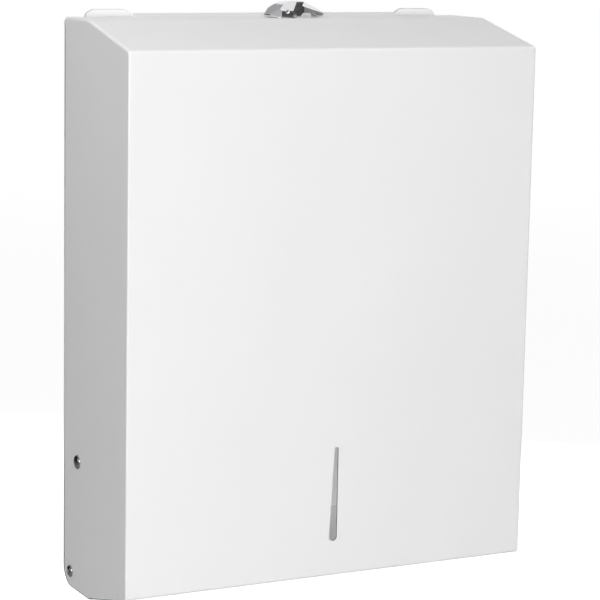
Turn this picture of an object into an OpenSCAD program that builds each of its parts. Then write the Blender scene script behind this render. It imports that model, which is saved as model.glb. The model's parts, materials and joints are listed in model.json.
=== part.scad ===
// Wall-mounted dispenser for folded paper towels, in painted sheet steel.
// Millimetres, +Z up, +Y into the wall, the front faces -Y.
// The origin is the centre of the four wall holes, on the wall's surface.

/* [Cover] */
// Width over the two sides
cover_w = 275; // [240:1:330]
// Height from the bottom of the sides to the level top
cover_h = 356; // [300:1:420]
// Depth from the front face to the rear edges
cover_d = 102; // [92:1:130]
// Thickness of the cover's sheet
cover_t = 1; // [0.8:0.1:1.5]
// How far the front's top edge lies below the level top
top_drop = 14.5; // [8:0.5:24]
// Depth of the level top, from its ridge to its rear edge
top_flat_d = 39; // [36:0.5:46]
// How far the front's bottom edge lies above the bottom of the sides
bottom_rise = 15.7; // [8:0.1:18]
// Depth of the level stretch at the bottom of the sides
bottom_flat_d = 42.4; // [34:0.1:50]
// Outside radius of the bends around the front
bend_r = 2.5; // [2:0.1:4]
// Radius of the soft ridge between the sloping and the level top
ridge_r = 8; // [4:0.5:12]
// Radius of the sides' lower rear corners
corner_r = 13; // [8:0.5:14]
// Depth of the flange that returns under the front
flange_d = 15; // [11:0.5:18]
// Width of the hem along that flange
hem_d = 6; // [4:0.5:9]

/* [Refill slot] */
// Height of the slot's lower end above the bottom of the sides
slot_low = 37.7; // [30:0.1:60]
// Length of the slot
slot_h = 59.5; // [40:0.5:90]
// Width of the slot near its upper end
slot_top_w = 2.6; // [2:0.1:4]
// Width of the slot near its lower end
slot_bottom_w = 5.6; // [4.5:0.1:8]
// Place of the slot's plumb right edge
slot_right_x = 3.9; // [2:0.1:6]

/* [Back plate] */
// Thickness of the back plate and its flanges
plate_t = 1.2; // [1:0.1:1.6]
// Gap between the back plate and the cover's rear edges
plate_gap = 1.3; // [1:0.1:2]
// Gap on each side between the plate's flanges and the cover's sides
plate_side_gap = 3.5; // [3:0.1:6]
// Depth of the plate's side flanges
plate_flange_d = 10; // [6:0.5:16]
// Height of the plate's lower edge above the bottom of the sides
plate_low = 3; // [2:0.5:6]
// Diameter of the wall holes
wall_hole_d = 6.5; // [5:0.1:8]
// Distance of the wall holes from the plate's side edges
hole_side_inset = 31.4; // [30:0.1:60]
// Height of the lower wall holes above the plate's lower edge
hole_low_inset = 48; // [40:0.5:70]
// Distance of the upper wall holes below the plate's upper edge
hole_high_inset = 49.7; // [30:0.1:80]

/* [Tongues and raised edge] */
// Distance of a tongue's middle from the plate's side edge
tongue_inset = 25; // [18:0.5:36]
// Width of a tongue where it leaves the plate
tongue_base_w = 31; // [26:0.5:34]
// Width of a tongue along its top
tongue_top_w = 22.5; // [14:0.5:24]
// Height of the tongues above the level top
tongue_rise = 4.4; // [3.6:0.1:7]
// Radius of a tongue's upper corners
tongue_tip_r = 3; // [1:0.1:4]
// Radius where a tongue leaves the plate
tongue_base_r = 2; // [1:0.1:3]
// Gap between a tongue and the cover's raised edge
edge_gap = 0.5; // [0.3:0.1:3]
// Depth of the raised edge along the rear of the level top
edge_d = 8.5; // [6:0.5:9]
// Height to which that edge rises
edge_rise = 2.1; // [1.4:0.1:2.6]

/* [Hinge] */
// Distance of the pivot from the cover's rear edges
pivot_inset = 12.7; // [11:0.1:14]
// Height of the pivot above the bottom of the sides
pivot_h = 10.3; // [10:0.1:13]
// Diameter of the pivot rivets' shanks
pivot_d = 5; // [4:0.1:6]
// Diameter of the pivot rivets' outer heads
pivot_head_d = 7.6; // [7:0.1:10]
// Distance of the stop studs from the cover's rear edges
stud_inset = 24.4; // [20:0.1:30]
// Height of the stop studs above the bottom of the sides
stud_h = 83.2; // [70:0.1:95]
// Diameter of the stop studs' shanks
stud_d = 5; // [4:0.1:5.4]
// Diameter of the stop studs' outer heads
stud_head_d = 8.8; // [7.5:0.1:11]
// How far the cover swings open, in degrees
swing = 50; // [30:1:55]
// Thickness of the hinge brackets
bracket_t = 1.5; // [1.2:0.1:2]
// Thickness of the nylon pivot washers
washer_t = 0.8; // [0.5:0.1:1.2]
// Width of the pivot washers' ring
washer_ring = 4; // [2.5:0.1:5]
// Thickness of the stop studs' inner washers
stop_washer_t = 1; // [0.8:0.1:1.5]
// How far those washers reach past the arc slot's edge
stop_washer_lap = 2.4; // [1.5:0.1:4]
// Height of the outer heads of pivot rivets and stop studs
head_h = 1.9; // [1.4:0.1:2.6]
// Height of the inner, upset ends of pivot rivets and stop studs
tail_h = 1.5; // [1:0.1:2]
// How far the upset ends reach past their shanks
tail_lap = 1.1; // [0.8:0.1:1.5]
// Depth of the dimple in the pivot rivets' heads
dimple_depth = 0.8; // [0.4:0.1:1]
// Metal left around the arc slot
slot_wall = 6; // [5:0.5:9]
// Width of a hinge bracket's foot on the plate
foot_w = 22; // [16:0.5:23]

/* [Towel shelf] */
// Reach of the shelf from the plate to its rolled edge's front
shelf_d = 50; // [36:1:54]
// Gap on each side between the shelf and the hinge brackets
shelf_side_gap = 6; // [5:0.5:10]
// Thickness of the shelf's sheet
shelf_t = 1.2; // [1:0.1:1.6]
// Outside radius of the shelf's rolled edge
roll_r = 4; // [3:0.1:5]
// Height of the flange that fixes the shelf to the plate
shelf_foot_h = 26; // [18:1:30]
// Distance of the shelf's outer rivets from the ends of that flange
shelf_pin_inset = 14; // [8:0.5:24]

/* [Latch] */
// Distance of the latch's axis from the cover's rear edge
latch_inset = 19.5; // [18:0.1:24]
// Radius of the chrome bush's flange on the level top
bush_flange_r = 6.9; // [6.7:0.1:7]
// Height of that flange
bush_flange_h = 1.6; // [1.2:0.1:2]
// How far that flange narrows to its top
bush_taper = 0.4; // [0.2:0.1:0.6]
// Radius of the bush's threaded barrel
bush_r = 6; // [5.6:0.1:6.2]
// Length of the barrel below the level top
bush_len = 15; // [13:0.5:20]
// Width of the nut across its flats
nut_af = 20; // [18:0.5:22]
// Thickness of the nut
nut_t = 6; // [4:0.5:7]
// Thickness of the toothed washer above the nut
star_t = 0.8; // [0.5:0.1:1.2]
// Number of teeth on that washer
star_teeth = 12; // [8:1:16]
// Width and reach of a tooth
star_tooth = 1.5; // [1:0.1:2]
// Diameter of the spindle
spindle_d = 8; // [6.5:0.1:8.4]
// Width across the flats that key the cam to the spindle
drive_w = 6; // [5:0.1:6.4]
// Thickness of the sliding washer under the lever
lever_washer_t = 0.5; // [0.3:0.1:0.8]
// Height of the lever's top above the level top
lever_top = 10.5; // [10:0.1:14]
// Gap between the lever and the level top
lever_gap = 0.5; // [0.3:0.1:0.8]
// Distance from the axis to the flats of the lever's eight-sided hub
lever_hub_r = 9.6; // [9.2:0.1:10.4]
// Reach of the lever's beak from the latch's axis
lever_reach = 29.5; // [27:0.5:36]
// Distance from the axis to where the lever's flat top begins
lever_crown = 1.6; // [0.5:0.1:3]
// Reach of the lever's flat top from the axis
lever_flat = 13.8; // [13:0.1:17]
// Radius of the rounding at both ends of the flat top
lever_arch = 12; // [8:0.5:14]
// Width of the flat top over the hub
lever_top_w = 9.2; // [7:0.1:10]
// Width of the lever's neck
lever_waist = 10.4; // [9:0.1:12]
// Height of the hub's upright sides above the level top
lever_shoulder = 4.4; // [4:0.1:5]
// Height of the lever's upright back above its base
lever_back_h = 1.6; // [1.4:0.1:2]
// Reach of the lever's underside to the hollow under its beak
lever_foot = 11.5; // [10:0.1:13]
// Thickness of metal above the spindle
lever_roof = 4.9; // [4.6:0.1:5.2]
// Width of the beak's tip
beak_w = 5.2; // [4.4:0.1:6.5]
// Thickness of the beak's tip, and its height above the lever's base
beak_t = 1.4; // [1.2:0.1:1.8]
// Width of the flat along the beak's roof
beak_roof = 3.6; // [2.4:0.1:4.2]
// Height of the hollow under the beak
beak_hollow = 2.4; // [1.5:0.1:3]
// Length of the hook at the beak's end
beak_hook = 6.1; // [5:0.1:7]
// Diameter of the lever's grub screw
grub_d = 2.5; // [2:0.1:2.8]
// How far the grub screw sinks into the spindle
grub_bite = 0.4; // [0.2:0.1:0.8]
// Thickness of the cam
cam_t = 2; // [1.5:0.1:3]
// Gap between the cam's tip and the back plate
cam_gap = 4.3; // [3.5:0.1:5]
// Width of the cam's tongue
cam_w = 11; // [9:0.5:12]
// Radius of the cam's corners
cam_corner_r = 3; // [1:0.1:4]
// Metal around the spindle in the cam's hub
cam_wall = 3.8; // [2:0.1:4.5]
// Diameter of the screw that holds the cam
cam_screw_d = 4; // [3:0.1:4.4]
// Length of that screw's thread in the spindle
cam_screw_len = 8; // [6:0.5:10]
// Height of that screw's head
cam_head_h = 2.6; // [2.2:0.1:3.2]
// Diameter of that screw's head
cam_head_d = 10.4; // [9:0.1:11]
// Thickness of the spring washer under that screw's head
cam_washer_t = 0.8; // [0.5:0.1:1.2]

/* [Strike] */
// Thickness of the strike bracket
strike_t = 1.5; // [1.2:0.1:2]
// Gap between the cam and the strike bracket
strike_gap = 1.2; // [0.8:0.1:1.6]
// Width of the strike bracket's catch
strike_w = 14; // [10:0.5:18]
// How far the turned cam reaches over the catch
strike_lap = 5.5; // [4:0.1:6]
// Height of the bracket's foot on the plate
strike_foot_h = 22; // [16:0.5:28]
// Width of the bracket's foot on the plate
strike_foot_w = 30; // [26:0.5:36]
// How far that foot reaches past the catch's near edge
strike_foot_lap = 2; // [1:0.1:3]

/* [Rivets] */
// Diameter of the small rivets' shanks
rivet_d = 3.2; // [2.4:0.1:4]
// Diameter of the small rivets' heads
rivet_head_d = 6; // [5:0.1:7]
// Height of the small rivets' heads
rivet_head_h = 1.4; // [1:0.1:2]
// Least distance of a rivet's middle from its bracket's edge
rivet_edge = 6; // [5:0.1:7]

/* [Clearances] */
// Gap around shanks that turn in their holes
run_gap = 0.05; // [0.02:0.01:0.1]
// Gap between faces that slide past each other
slide_gap = 0.2; // [0.1:0.05:0.4]
// Gap between a stop stud and its slot
stud_gap = 0.3; // [0.2:0.05:0.5]

/* [Hidden] */
$fn = 64;
// Overshoot of cutting shapes
eps = 1;
// Straight pieces in each rounded corner of an outline
arc_steps = 6;
// Corner radius of the refill slot's ends, as a share of its width
end_round = 0.46;

paint = "white";
zinc = "lightsteelblue";
bright = "gainsboro";
nylon = "ivory";

// Cover outline, as [y, z] from the wall and the bottom of the sides
rear_y = -(plate_t + plate_gap);
front_y = rear_y - cover_d;
ridge_y = rear_y - top_flat_d;
bottom_y = rear_y - bottom_flat_d;
front_top_z = cover_h - top_drop;
side_x = cover_w / 2;
inner_x = side_x - cover_t;

// Hinge
pivot_y = rear_y - pivot_inset;
stud_y = rear_y - stud_inset;
ear_out_x = inner_x - washer_t - slide_gap;
ear_in_x = ear_out_x - bracket_t;
stud_run = norm([stud_y - pivot_y, stud_h - pivot_h]);
stud_lean = atan2(pivot_y - stud_y, stud_h - pivot_h);
arc_half = stud_d / 2 + stud_gap;
ear_r = stud_run + arc_half + slot_wall;
// Angle from the stud's last place to the ear's front edge
ear_spare = asin((arc_half + slot_wall) / stud_run);
ear_lean = stud_lean + swing + ear_spare;
ear_low = plate_low;
foot_low = pivot_h + pivot_head_d;
foot_high = pivot_h + stud_run;
foot_pin_x = ear_in_x - foot_w / 2;
stop_washer_x = ear_in_x - stud_gap - stop_washer_t;

// Back plate
plate_x = inner_x - plate_side_gap;
plate_high = cover_h - plate_gap;
plate_flange_low = pivot_h + ear_r + eps;
tongue_x = plate_x - tongue_inset;
edge_x = tongue_x - tongue_base_w / 2 - edge_gap;
hole_x = plate_x - hole_side_inset;
hole_low = plate_low + hole_low_inset;
hole_high = plate_high - hole_high_inset;
hole_centre_h = (hole_low + hole_high) / 2;

// Shelf
shelf_x = ear_in_x - shelf_side_gap;
shelf_foot_x = ear_in_x - foot_w - shelf_side_gap;
shelf_pin_x = shelf_foot_x - shelf_pin_inset;
shelf_pin_h = plate_low + shelf_foot_h - rivet_edge - rivet_head_d / 2;

// Latch, from the level top downwards
latch_y = rear_y - latch_inset;
under_top = cover_h - cover_t;
nut_low = under_top - star_t - nut_t;
bush_low = cover_h - bush_len;
cam_high = bush_low - slide_gap;
cam_low = cam_high - cam_t;
cam_seat = cam_low - cam_washer_t;
cam_reach = latch_inset + plate_gap - cam_gap;
lever_seat = cover_h + bush_flange_h + lever_washer_t + slide_gap;
spindle_high = cover_h + lever_top - lever_roof;
grub_h = (lever_seat + spindle_high) / 2;
grub_len = lever_hub_r - spindle_d / 2 - grub_bite;
strike_x = cam_reach - strike_lap;
strike_high = cam_low - strike_gap;
strike_y = latch_y - cam_w / 2 - strike_gap;
strike_foot_x = strike_x - strike_foot_lap;
strike_foot_low = strike_high - strike_foot_h;

// Points of a closed outline with each corner rounded to its own radius
function unit(v) = v / norm(v);
function corner_arc(before, at, after, r) =
  let (
    to_before = unit(before - at),
    to_after = unit(after - at),
    half = acos(max(-1, min(1, to_before * to_after))) / 2,
    centre = at + unit(to_before + to_after) * r / sin(half),
    first = at + to_before * r / tan(half) - centre,
    last = at + to_after * r / tan(half) - centre,
    start = atan2(first[1], first[0]),
    turn = atan2(first[0] * last[1] - first[1] * last[0], first * last)
  )
  [for (i = [0:arc_steps])
    let (angle = start + turn * i / arc_steps)
    centre + r * [cos(angle), sin(angle)]];
function rounded(points, radii) =
  let (n = len(points))
  [for (i = [0:n - 1])
    each radii[i] > 0
      ? corner_arc(points[(i + n - 1) % n], points[i], points[(i + 1) % n], radii[i])
      : [points[i]]];

// The corner of a sheet's inner face, a distance t to the left of two lines that meet at a point
function left_of(d) = [-d[1], d[0]];
function inset(before, at, after, t) =
  let (n1 = left_of(unit(at - before)), n2 = left_of(unit(after - at)))
  at + t * (n1 + n2) / (1 + n1 * n2);

// Heights in the modules count from the bottom of the sides
module place() translate([0, 0, -hole_centre_h]) children();

// An outline in [y, z], drawn out to equal lengths on both sides of the middle
module across(width) rotate([90, 0, 90]) translate([0, 0, -width / 2]) linear_extrude(width) children();

// A shape built for the right side, on the side that sign names
module on_side(sign) {
  if (sign > 0) children();
  else mirror([1, 0, 0]) children();
}

module rod(r, from_x, to_x, y, z)
  translate([from_x, y, z]) rotate([0, 90, 0]) cylinder(r = r, h = to_x - from_x);

// Round head with a shallow crown, its flat face at the origin and its crown along +Z
module button(r, h) {
  edge = h / 3;
  crown = (r * r + (h - edge) * (h - edge)) / (2 * (h - edge));
  intersection() {
    cylinder(r = r, h = h);
    translate([0, 0, h - crown]) sphere(crown, $fn = 96);
  }
}

// Flush rivet through the plate, headed in front of a sheet that ends at front
module flush_rivet(x, z, front) {
  translate([x, 0, z]) rotate([90, 0, 0]) cylinder(d = rivet_d, h = -front);
  translate([x, front, z]) rotate([90, 0, 0]) button(rivet_head_d / 2, rivet_head_h);
}

module rivet_hole(x, z) {
  deepest = plate_t + max(bracket_t, shelf_t, strike_t);
  translate([x, eps, z]) rotate([90, 0, 0]) cylinder(d = rivet_d, h = deepest + 2 * eps);
}

// Cover

front_low = [front_y, bottom_rise];
front_high = [front_y, front_top_z];
ridge = [ridge_y, cover_h];
bottom_bend = [bottom_y, 0];
slope_dir = unit(bottom_bend - front_low);

module cover_outline()
  polygon(rounded(
    [[rear_y, 0], [rear_y, cover_h], ridge, front_high, front_low, bottom_bend],
    [corner_r, bend_r, ridge_r, bend_r, bend_r, ridge_r]));

// What is cut away between the sides: all but the front, the tops and the hemmed flange
module cover_hollow() {
  in_ridge = inset([rear_y, cover_h], ridge, front_high, cover_t);
  in_high = inset(ridge, front_high, front_low, cover_t);
  in_low = inset(front_high, front_low, bottom_bend, cover_t);
  up = left_of(slope_dir);
  hem_from = in_low + slope_dir * (flange_d - hem_d);
  hem_to = in_low + slope_dir * flange_d;
  bend_in = bend_r - cover_t;
  polygon(rounded(
    [
      [rear_y + eps, cover_h - cover_t], in_ridge, in_high, in_low,
      hem_from, hem_from + up * cover_t, hem_to + up * cover_t,
      hem_to - up * 2 * cover_t - [0, bottom_rise], [rear_y + eps, -bottom_rise]
    ],
    [0, ridge_r - cover_t, bend_in, bend_in, 0, 0, 0, 0, 0]));
}

// Plan that rounds the upright front edges
module cover_plan(half_w, front, r)
  linear_extrude(2 * cover_h, center = true)
    polygon(rounded(
      [[half_w, eps], [-half_w, eps], [-half_w, front], [half_w, front]], [0, 0, r, r]));

// Narrow at the top, with ends almost fully round
module refill_slot() {
  top_r = end_round * slot_top_w;
  low_r = end_round * slot_bottom_w;
  slot_high = slot_low + slot_h;
  translate([0, front_y + 2 * cover_t, 0]) rotate([90, 0, 0]) linear_extrude(4 * cover_t)
    polygon(rounded(
      [
        [slot_right_x, slot_low], [slot_right_x, slot_high],
        [slot_right_x - slot_top_w, slot_high], [slot_right_x - slot_bottom_w, slot_low]
      ],
      [low_r, top_r, top_r, low_r]));
}

// The rear of the level top climbs between the tongues, by over past the rear edge where it cuts
module raised_edge(low, over = 0) {
  ramp = 1 + over / edge_d;
  below = low - cover_t / 2;
  polygon([
    [rear_y - edge_d, below], [rear_y - edge_d, low],
    [rear_y + over, low + edge_rise * ramp], [rear_y + over, below]
  ]);
}

module cover_shell() color(paint) place()
  difference() {
    union() {
      intersection() {
        across(cover_w) cover_outline();
        cover_plan(side_x, front_y, bend_r);
      }
      across(2 * edge_x) raised_edge(cover_h);
    }
    across(2 * (edge_x - cover_t)) raised_edge(under_top, eps);
    intersection() {
      across(2 * inner_x) cover_hollow();
      cover_plan(inner_x, front_y + cover_t, bend_r - cover_t);
    }
    refill_slot();
    rod(pivot_d / 2 + run_gap, -cover_w, cover_w, pivot_y, pivot_h);
    rod(stud_d / 2, -cover_w, cover_w, stud_y, stud_h);
    translate([0, latch_y, under_top - eps]) cylinder(r = bush_r, h = 2 * eps + cover_t);
  }

module stop_stud(sign) color(bright) place() on_side(sign) {
  rod(stud_d / 2, stop_washer_x, side_x, stud_y, stud_h);
  translate([side_x, stud_y, stud_h]) rotate([0, 90, 0]) button(stud_head_d / 2, head_h);
  translate([stop_washer_x, stud_y, stud_h]) rotate([0, -90, 0]) button(stud_d / 2 + tail_lap, tail_h);
}

module stop_stud_left() stop_stud(-1);
module stop_stud_right() stop_stud(1);

module stop_washer(sign) color(zinc) place() on_side(sign)
  difference() {
    rod(arc_half + stop_washer_lap, stop_washer_x, stop_washer_x + stop_washer_t, stud_y, stud_h);
    rod(stud_d / 2, 0, side_x, stud_y, stud_h);
  }

module stop_washer_left() stop_washer(-1);
module stop_washer_right() stop_washer(1);

// Back plate

module tongue() {
  base = tongue_base_w / 2;
  tip = tongue_top_w / 2;
  high = cover_h + tongue_rise;
  root = plate_high - eps;
  polygon(rounded(
    [[-base, root], [base, root], [base, cover_h], [tip, high], [-tip, high], [-base, cover_h]],
    [0, 0, tongue_base_r, tongue_tip_r, tongue_tip_r, tongue_base_r]));
}

module back_plate() color(paint) place()
  difference() {
    union() {
      translate([-plate_x, -plate_t, plate_low]) cube([2 * plate_x, plate_t, plate_high - plate_low]);
      for (sign = [-1, 1]) {
        on_side(sign) translate([plate_x - plate_t, -plate_flange_d, plate_flange_low])
          cube([plate_t, plate_flange_d, plate_high - plate_flange_low]);
        translate([sign * tongue_x, 0, 0]) rotate([90, 0, 0]) linear_extrude(plate_t) tongue();
      }
    }
    for (x = [-hole_x, hole_x], z = [hole_low, hole_high])
      translate([x, eps, z]) rotate([90, 0, 0]) cylinder(d = wall_hole_d, h = plate_t + 2 * eps);
    plate_rivets() rivet_hole($pin[0], $pin[1]);
  }

// Every small rivet's place on the plate, given to the children as $pin
module bracket_pins()
  for (sign = [-1, 1], z = [0.25, 0.75])
    let ($pin = [sign * foot_pin_x, foot_low + z * (foot_high - foot_low)]) children();
module shelf_pin_row()
  for (x = [-1, -1 / 3, 1 / 3, 1])
    let ($pin = [x * shelf_pin_x, shelf_pin_h]) children();
module strike_pins()
  for (x = [rivet_edge, strike_foot_w - rivet_edge])
    let ($pin = [strike_foot_x + x, strike_foot_low + strike_foot_h / 2]) children();
module plate_rivets() {
  bracket_pins() children();
  shelf_pin_row() children();
  strike_pins() children();
}

module bracket_rivets() color(zinc) place()
  bracket_pins() flush_rivet($pin[0], $pin[1], -plate_t - bracket_t);
module shelf_rivets() color(zinc) place()
  shelf_pin_row() flush_rivet($pin[0], $pin[1], -plate_t - shelf_t);
module strike_rivets() color(zinc) place()
  strike_pins() flush_rivet($pin[0], $pin[1], -plate_t - strike_t);

// Hinge

// Turns a shape that points straight up from the pivot forwards by an angle
module lean(angle) translate([0, pivot_y, pivot_h]) rotate([angle, 0, 0]) children();

module ear() {
  far = 2 * ear_r;
  tip = [pivot_y - far * sin(ear_lean), pivot_h + far * cos(ear_lean)];
  intersection() {
    rod(ear_r, ear_in_x, ear_out_x, pivot_y, pivot_h);
    across(cover_w) polygon([
      [-plate_t, ear_low], [-plate_t, pivot_h + far], [tip[0], pivot_h + far], tip,
      [pivot_y - pivot_head_d, ear_low]
    ]);
  }
}

// The path is a little wider than its round ends
module arc_slot() {
  far = 2 * ear_r;
  path_half = arc_half + run_gap;
  middle = stud_lean + swing / 2;
  end = stud_lean + swing;
  difference() {
    intersection() {
      rod(stud_run + path_half, ear_in_x - eps, ear_out_x + eps, pivot_y, pivot_h);
      across(cover_w) polygon([
        [pivot_y, pivot_h],
        [pivot_y - far * sin(stud_lean), pivot_h + far * cos(stud_lean)],
        [pivot_y - 2 * far * sin(middle), pivot_h + 2 * far * cos(middle)],
        [pivot_y - far * sin(end), pivot_h + far * cos(end)]
      ]);
    }
    rod(stud_run - path_half, 0, cover_w, pivot_y, pivot_h);
  }
  for (angle = [stud_lean, end])
    lean(angle) rod(arc_half, ear_in_x - eps, ear_out_x + eps, 0, stud_run);
}

module hinge_bracket(sign) color(paint) place()
  difference() {
    on_side(sign) difference() {
      union() {
        ear();
        translate([ear_in_x - foot_w, -plate_t - bracket_t, foot_low])
          cube([foot_w + bracket_t, bracket_t, foot_high - foot_low]);
      }
      arc_slot();
      rod(pivot_d / 2, 0, cover_w, pivot_y, pivot_h);
    }
    bracket_pins() rivet_hole($pin[0], $pin[1]);
  }

module hinge_bracket_left() hinge_bracket(-1);
module hinge_bracket_right() hinge_bracket(1);

module pivot_rivet(sign) color(bright) place() on_side(sign) {
  head_x = side_x + slide_gap;
  difference() {
    union() {
      rod(pivot_d / 2, ear_in_x, head_x, pivot_y, pivot_h);
      translate([head_x, pivot_y, pivot_h]) rotate([0, 90, 0]) button(pivot_head_d / 2, head_h);
    }
    rod(pivot_d / 4, head_x + head_h - dimple_depth, head_x + 2 * head_h, pivot_y, pivot_h);
  }
  translate([ear_in_x, pivot_y, pivot_h]) rotate([0, -90, 0]) button(pivot_d / 2 + tail_lap, tail_h);
}

module pivot_rivet_left() pivot_rivet(-1);
module pivot_rivet_right() pivot_rivet(1);

module pivot_washer(sign) color(nylon) place() on_side(sign)
  difference() {
    rod(pivot_d / 2 + washer_ring, ear_out_x, ear_out_x + washer_t, pivot_y, pivot_h);
    rod(pivot_d / 2, 0, cover_w, pivot_y, pivot_h);
  }

module pivot_washer_left() pivot_washer(-1);
module pivot_washer_right() pivot_washer(1);

// Towel shelf

module towel_shelf() color(paint) place() {
  roll_y = -plate_t - shelf_d + roll_r;
  roll_z = plate_low + roll_r;
  difference() {
    union() {
      translate([-shelf_foot_x, -plate_t - shelf_t, plate_low])
        cube([2 * shelf_foot_x, shelf_t, shelf_foot_h]);
      translate([-shelf_x, roll_y, plate_low]) cube([2 * shelf_x, -plate_t - roll_y, shelf_t]);
      difference() {
        rod(roll_r, -shelf_x, shelf_x, roll_y, roll_z);
        rod(roll_r - shelf_t, -shelf_x - eps, shelf_x + eps, roll_y, roll_z);
        translate([-shelf_x - eps, roll_y, plate_low + shelf_t])
          cube([2 * (shelf_x + eps), 2 * roll_r, roll_r - shelf_t]);
      }
    }
    shelf_pin_row() rivet_hole($pin[0], $pin[1]);
  }
}

// Latch

module at_latch() place() translate([0, latch_y, 0]) children();

module lock_bush() color(bright) at_latch()
  difference() {
    union() {
      translate([0, 0, bush_low]) cylinder(r = bush_r, h = bush_len);
      translate([0, 0, cover_h])
        cylinder(r1 = bush_flange_r, r2 = bush_flange_r - bush_taper, h = bush_flange_h);
    }
    translate([0, 0, bush_low - eps])
      cylinder(d = spindle_d + 2 * run_gap, h = bush_len + bush_flange_h + 2 * eps);
  }

module lock_star_washer() color(zinc) at_latch() {
  ring_r = nut_af / 2 - star_tooth;
  translate([0, 0, under_top - star_t]) difference() {
    union() {
      cylinder(r = ring_r, h = star_t);
      for (i = [0:star_teeth - 1])
        rotate(i * 360 / star_teeth)
          translate([0, -star_tooth / 2, 0]) cube([nut_af / 2, star_tooth, star_t]);
    }
    translate([0, 0, -eps]) cylinder(r = bush_r, h = star_t + 2 * eps);
  }
}

module lock_nut() color(zinc) at_latch()
  translate([0, 0, nut_low]) difference() {
    cylinder(d = nut_af / cos(30), h = nut_t, $fn = 6);
    translate([0, 0, -eps]) cylinder(r = bush_r, h = nut_t + 2 * eps);
  }

module lever_washer() color(nylon) at_latch()
  translate([0, 0, cover_h + bush_flange_h]) difference() {
    cylinder(r = bush_flange_r - bush_taper, h = lever_washer_t);
    translate([0, 0, -eps]) cylinder(d = spindle_d + 2 * run_gap, h = lever_washer_t + 2 * eps);
  }

// Side view of the lever: the hub at the axis, the hooked beak reaching out to +X
module lever_side() {
  hollow = lever_gap + beak_hollow;
  hook = lever_reach - beak_hook;
  tip = lever_gap + beak_t;
  soft = beak_t / 2;
  polygon(rounded(
    [
      [-lever_hub_r, lever_gap], [lever_foot, lever_gap], [lever_foot + beak_hollow / 2, hollow],
      [hook - beak_hollow / 2, hollow], [hook, lever_gap], [hook + beak_hook / 2, lever_gap],
      [lever_reach, tip], [lever_reach, tip + beak_t], [lever_flat, lever_top],
      [lever_crown, lever_top], [-lever_hub_r, lever_gap + lever_back_h]
    ],
    [0, soft, soft, soft, soft, soft, soft / 2, soft / 2, lever_arch, lever_arch, lever_back_h]));
}

// Plan of the lever: eight-sided at the hub, then a straight neck that tapers to the beak
module lever_plan() {
  waist = lever_waist / 2;
  tip = beak_w / 2;
  soft = beak_w / 3;
  rotate(22.5) circle(lever_hub_r / cos(22.5), $fn = 8);
  polygon(rounded(
    [
      [0, -waist], [lever_flat, -waist], [lever_reach, -tip],
      [lever_reach, tip], [lever_flat, waist], [0, waist]
    ],
    [0, lever_waist, soft, soft, lever_waist, 0]));
}

// End view of the lever: upright sides under shoulders that slope up to the flat top
module lever_end() {
  rise = (lever_top - lever_shoulder) / (lever_hub_r - lever_top_w / 2);
  low = [lever_hub_r + eps, lever_shoulder - eps * rise];
  high = [lever_top_w / 2 - eps / rise, lever_top + eps];
  polygon([[-low[0], 0], [low[0], 0], low, high, [-high[0], high[1]], [-low[0], low[1]]]);
}

// What makes the beak's roof fall away on both sides of a narrow flat
module roof_cuts() {
  fall = atan2(lever_top - lever_gap - 2 * beak_t, lever_reach - lever_flat);
  for (sign = [-1, 1])
    translate([lever_flat, sign * beak_roof / 2, lever_top]) rotate([0, fall, 0]) rotate([-45 * sign, 0, 0])
      translate([0, sign > 0 ? 0 : -lever_reach, 0]) cube([2 * lever_reach, lever_reach, lever_reach]);
}

module lock_lever() color(bright) at_latch()
  difference() {
    translate([0, 0, cover_h]) intersection() {
      rotate([90, 0, 0]) linear_extrude(4 * lever_hub_r, center = true) lever_side();
      linear_extrude(lever_top + eps) lever_plan();
      across(4 * lever_reach) lever_end();
    }
    translate([0, 0, cover_h]) roof_cuts();
    translate([0, 0, cover_h]) cylinder(r = bush_flange_r + 1.5 * slide_gap, h = lever_seat - cover_h);
    translate([0, 0, lever_seat - eps]) cylinder(d = spindle_d, h = spindle_high - lever_seat + eps);
    translate([0, 0, grub_h]) rotate([90, 0, 0]) cylinder(d = grub_d, h = 2 * lever_hub_r);
  }

module lever_grub_screw() color(zinc) at_latch()
  translate([0, grub_bite - spindle_d / 2, grub_h]) rotate([90, 0, 0]) difference() {
    cylinder(d = grub_d, h = grub_len);
    translate([0, 0, grub_len / 2]) cylinder(d = grub_d / 2, h = grub_len, $fn = 6);
  }

// Round bar with two flats, which turns the cam
module cam_drive(h)
  intersection() {
    cylinder(d = spindle_d, h = h);
    translate([-drive_w / 2, -spindle_d, 0]) cube([drive_w, 2 * spindle_d, h]);
  }

module lock_spindle() color(zinc) at_latch()
  difference() {
    union() {
      translate([0, 0, cam_high]) cylinder(d = spindle_d, h = spindle_high - cam_high);
      translate([0, 0, cam_low]) cam_drive(cam_t);
    }
    translate([0, grub_bite - spindle_d / 2, grub_h])
      rotate([90, 0, 0]) cylinder(d = grub_d, h = spindle_d);
    translate([0, 0, cam_low - eps]) cylinder(d = cam_screw_d, h = cam_screw_len + eps);
  }

module lock_cam() color(zinc) at_latch() {
  half = cam_w / 2;
  translate([0, 0, cam_low]) difference() {
    union() {
      cylinder(r = spindle_d / 2 + cam_wall, h = cam_t);
      linear_extrude(cam_t) polygon(rounded(
        [[-half, 0], [half, 0], [half, cam_reach], [-half, cam_reach]],
        [0, 0, cam_corner_r, cam_corner_r]));
    }
    translate([0, 0, -eps]) cam_drive(cam_t + 2 * eps);
  }
}

module cam_spring_washer() color(zinc) at_latch()
  translate([0, 0, cam_seat]) difference() {
    cylinder(d = cam_head_d, h = cam_washer_t);
    translate([0, 0, -eps]) cylinder(d = cam_screw_d, h = cam_washer_t + 2 * eps);
  }

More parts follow.
